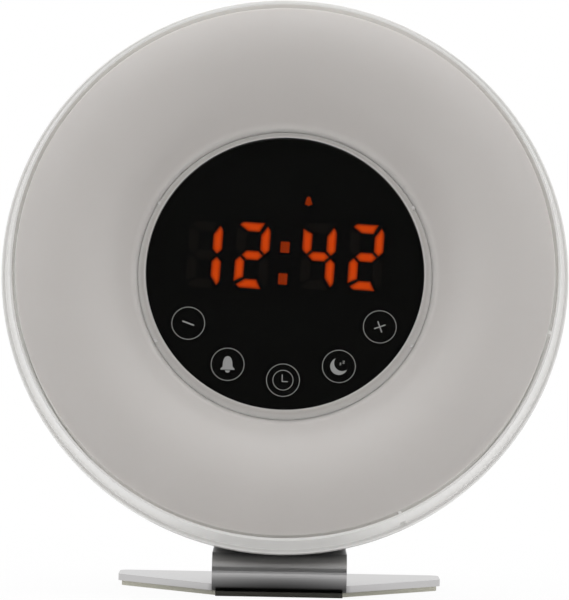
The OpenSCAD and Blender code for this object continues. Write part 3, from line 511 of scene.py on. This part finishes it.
# A lip round the bezel's foot that closes its gap to the diffuser to 0.04 mm
LIP_R = FOOT_R + 0.00026
LIP_LOW, LIP_OUTSIDE, LIP_TOP = -0.0008, -0.00042, -0.00002
lip = turned("bezel_lip", [(FOOT_R, LIP_LOW), (LIP_R, LIP_LOW), (LIP_R, LIP_OUTSIDE),
                           (FOOT_R, LIP_TOP)])
lip.data.materials.append(bezel_pmma)
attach(lip, "clock")

# ---------------------------------------------------------------- diffuser
# The lamp's cover, a shallow doughnut of opal polycarbonate with a satin mould. It hides the
# LEDs, looks soft and slightly warm, and has a faint broad gloss.
opal, tree = finish("opal polycarbonate, satin")
place = add(tree, "TexCoord").outputs["Object"]
cloud = add(tree, "TexNoise", {"Vector": place, "Scale": per_mm(30), "Detail": 2.0})
tint = add(tree, "MixRGB", {"Fac": cloud.outputs["Fac"], "Color1": linear("#d4d0cd"),
                            "Color2": linear("#d0ccc9")})
# Painted light: the last 2.4 mm towards the clock face are lighter, for the light that comes in at
# the inner edge, against the shade in the valley by the bezel
painted_light_edge = add(tree, "MapRange", {"Value": off_axis(tree, place), "From Min": 0.0444,
                              "From Max": 0.0468, "To Min": 1.0, "To Max": 0.0},
           interpolation_type="SMOOTHSTEP")
painted_light_tint = add(tree, "MixRGB", {"Fac": painted_light_edge.outputs["Result"], "Color1": tint.outputs["Color"],
                                "Color2": linear("#edeae7")})
# Satin texture of the mould, 0.4 mm across and about 10 microns deep
satin = add(tree, "TexNoise", {"Vector": place, "Scale": per_mm(0.4), "Detail": 3.0})
relief = add(tree, "Bump", {"Height": satin.outputs["Fac"], "Strength": 0.15, "Distance": 0.00001})
sheen = add(tree, "MapRange", {"Value": satin.outputs["Fac"], "From Min": 0.3, "From Max": 0.7,
                               "To Min": 0.42, "To Max": 0.5})
cover = add(tree, "BsdfPrincipled", {"Base Color": painted_light_tint.outputs["Color"], "IOR": 1.58,
                                     "Specular IOR Level": 0.4, "Subsurface Weight": 1.0,
                                     "Subsurface Radius": (1.0, 1.0, 1.0),
                                     "Subsurface Scale": 0.003,
                                     "Roughness": sheen.outputs["Result"],
                                     "Normal": relief.outputs["Normal"]})
# Some 45 % of the light goes through and lights the white tray inside
inward = add(tree, "BsdfTransparent", {"Color": linear("#fffdfa")})
path = add(tree, "LightPath")
share = add(tree, "Math", {0: path.outputs["Is Shadow Ray"], 1: 0.45}, operation="MULTIPLY")
both = add(tree, "MixShader", {0: share.outputs[0], 1: cover.outputs["BSDF"],
                               2: inward.outputs["BSDF"]})
add(tree, "OutputMaterial", {"Surface": both.outputs["Shader"]})
dress(opal, "front_diffuser")

# ---------------------------------------------------------------- case screws
# Four long pan-head screws, sunk in bosses from the back; bright zinc on steel.
dress(zinc_screw, "case_screws")

# ---------------------------------------------------------------- stand
# One strip of 2 mm steel sheet, folded and satin-nickel plated, carries the head from behind on
# two screws. The finish is even and silvery, with blurred reflections along the folds.
# Under the head the strip's colour is darkened with painted shade, out to 8 mm from other surfaces
satin_nickel = metal("satin nickel on steel sheet", "#c8c7c7", "#bcbbbb", 0.32, 0.04, 0.35,
                     (1, 10, 10), 8)
dress(satin_nickel, "stand_bracket")
dress(zinc_screw, "stand_screws")

# ---------------------------------------------------------------- foot pad
# A die-cut sheet of dark olive rubber, glued under the plate. Matt, with a fine leathery grain.
foot_rubber, tree = finish("cut rubber sheet, olive grey")
place = add(tree, "TexCoord").outputs["Object"]
# Leathery grain of the calendered sheet, 0.6 mm across and 0.08 mm deep
grain = add(tree, "TexNoise", {"Vector": place, "Scale": per_mm(0.6), "Detail": 4.0})
relief = add(tree, "Bump", {"Height": grain.outputs["Fac"], "Strength": 0.35, "Distance": 0.00008})
rubber = add(tree, "MixRGB", {"Fac": grain.outputs["Fac"], "Color1": linear("#dedccd"),
                              "Color2": linear("#d3d1c3")})
# Light olive grey; the front edge under the roll, within 20 mm of the middle, is darker: painted
# shade where the roll overhangs it
pad_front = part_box("foot_pad")[0][1]
spot = add(tree, "SeparateXYZ", {"Vector": place})
aside = add(tree, "Math", {0: spot.outputs["X"]}, operation="ABSOLUTE")
tucked = add(tree, "MapRange", {"Value": aside.outputs[0], "From Min": 0.0195, "From Max": 0.021,
                                "To Min": 1.0, "To Max": 0.0})
front = add(tree, "MapRange", {"Value": spot.outputs["Y"], "From Min": pad_front + 0.001,
                               "From Max": pad_front + 0.003, "To Min": 1.0, "To Max": 0.0})
skin = add(tree, "Math", {0: tucked.outputs["Result"], 1: front.outputs["Result"]},
           operation="MULTIPLY")
rubber_with_painted_shade = add(tree, "MixRGB", {"Fac": skin.outputs[0], "Color1": rubber.outputs["Color"],
                            "Color2": linear("#4a4943")})
sheet = add(tree, "BsdfPrincipled", {"Base Color": rubber_with_painted_shade.outputs["Color"], "Roughness": 0.82,
                                     "Specular IOR Level": 0.3,
                                     "Normal": relief.outputs["Normal"]})
add(tree, "OutputMaterial", {"Surface": sheet.outputs["BSDF"]})
dress(foot_rubber, "foot_pad")

# ---------------------------------------------------------------- floor and light
# A white table under a large soft lamp, between white walls. To the eye the table and the air are
# plain white, and the table keeps the clock's soft shadow.
TABLE_HALF = 3.0
bm = bmesh.new()
bmesh.ops.create_grid(bm, x_segments=1, y_segments=1, size=TABLE_HALF)
table = piece("table", bm)
table_white, tree = finish("white laminate table")
white = add(tree, "Emission", {"Color": linear("#ffffff"), "Strength": 1.0})
seen = add(tree, "LightPath")
place = add(tree, "TexCoord").outputs["Object"]
away = add(tree, "VectorMath", {0: place}, operation="LENGTH").outputs["Value"]
# The shadow stays within about 0.3 m; further off the table melts into the white air
calm = add(tree, "MapRange", {"Value": away, "From Min": 0.08, "From Max": 0.3, "To Min": 0.94,
                              "To Max": 1.0})
paint = add(tree, "BsdfDiffuse", {"Color": linear("#f8f8f8")})
mirror = add(tree, "MapRange", {"Value": away, "From Min": 0.012, "From Max": 0.05, "To Min": 0.12,
                                "To Max": 1.0})
direct = add(tree, "Math", {0: seen.outputs["Is Camera Ray"],
                            1: seen.outputs["Is Transmission Ray"]}, operation="MAXIMUM")
plain = add(tree, "Math", {0: direct.outputs[0], 1: calm.outputs["Result"]}, operation="MULTIPLY")
both = add(tree, "MixShader", {0: plain.outputs[0], 1: paint.outputs["BSDF"],
                               2: white.outputs["Emission"]})
# Painted shadow: glossy rays see the table darken towards the clock, so that metal close to the
# table mirrors a shaded ground
shaded = add(tree, "Emission", {"Color": linear("#ffffff"), "Strength": mirror.outputs["Result"]})
shown = add(tree, "MixShader", {0: seen.outputs["Is Glossy Ray"], 1: both.outputs["Shader"],
                                2: shaded.outputs["Emission"]})
add(tree, "OutputMaterial", {"Surface": shown.outputs["Shader"]})
table.data.materials.append(table_white)

world = bpy.data.worlds.new("white room")
bpy.context.scene.world = world
world.use_nodes = True
tree = world.node_tree
tree.nodes.clear()
seen = add(tree, "LightPath")
glossy = add(tree, "Math", {0: seen.outputs["Is Camera Ray"], 1: seen.outputs["Is Glossy Ray"]},
             operation="MAXIMUM")
direct = add(tree, "Math", {0: glossy.outputs[0], 1: seen.outputs["Is Transmission Ray"]},
             operation="MAXIMUM")
# The walls light the clock at this share of the white that the eye sees
WALL_LIGHT = 0.76
room = add(tree, "Background", {"Color": linear("#ffffff"), "Strength": WALL_LIGHT})
white = add(tree, "Background", {"Color": linear("#ffffff"), "Strength": 1.0})
both = add(tree, "MixShader", {0: direct.outputs[0], 1: room.outputs["Background"],
                               2: white.outputs["Background"]})
add(tree, "OutputWorld", {"Surface": both.outputs["Shader"]})

# One soft box hangs over the clock and looks straight down at it
BOX_AT = Vector((0, 0, 1.3))
BOX_AIM = Vector((0, 0, 0.09))
softbox = bpy.data.lights.new("overhead_softbox", "AREA")
softbox.shape = "RECTANGLE"
softbox.size, softbox.size_y, softbox.energy = 1.6, 1.2, 6.5
hung = bpy.data.objects.new("overhead_softbox", softbox)
hung.location = BOX_AT
hung.rotation_euler = (BOX_AIM - BOX_AT).to_track_quat("-Z", "Y").to_euler()
bpy.context.scene.collection.objects.link(hung)

# A dark card in front and above, out of view, which the gloss face mirrors
CARD_HALF = 0.8
CARD_AT = (0, -2.2, 0.66)
CARD_TILT = radians(78)
bm = bmesh.new()
bmesh.ops.create_grid(bm, x_segments=1, y_segments=1, size=CARD_HALF)
card = piece("dark_card", bm)
card.matrix_world = Matrix.Translation(CARD_AT) @ Matrix.Rotation(CARD_TILT, 4, "X")
card_black, tree = finish("black felt")
pile = add(tree, "TexNoise", {"Scale": per_mm(2.5)})
nap = add(tree, "MixRGB", {"Fac": pile.outputs["Fac"], "Color1": linear("#0a0a0a"),
                           "Color2": linear("#0e0e0e")})
felt = add(tree, "BsdfPrincipled", {"Base Color": nap.outputs["Color"], "Roughness": 1.0,
                                    "Specular IOR Level": 0.0})
add(tree, "OutputMaterial", {"Surface": felt.outputs["BSDF"]})
card.data.materials.append(card_black)
card.visible_camera = False

# ---------------------------------------------------------------- camera
# Level with the middle of the head, 1.2 m in front, turned by a hair as a hand-set tripod is.
EYE_AT = (0, -1.2, 0.0955)
DIP = radians(0.351)
ROLL = radians(1.1)
camera = bpy.data.cameras.new("camera")
camera.lens = 239.6
camera.sensor_width = 36
camera.sensor_fit = "AUTO"
eye = bpy.data.objects.new("camera", camera)
eye.matrix_world = (Matrix.Translation(EYE_AT) @ Matrix.Rotation(pi / 2 - DIP, 4, "X")
                    @ Matrix.Rotation(ROLL, 4, "Z"))
bpy.context.scene.collection.objects.link(eye)
bpy.context.scene.camera = eye
bpy.context.scene.view_settings.view_transform = "Standard"
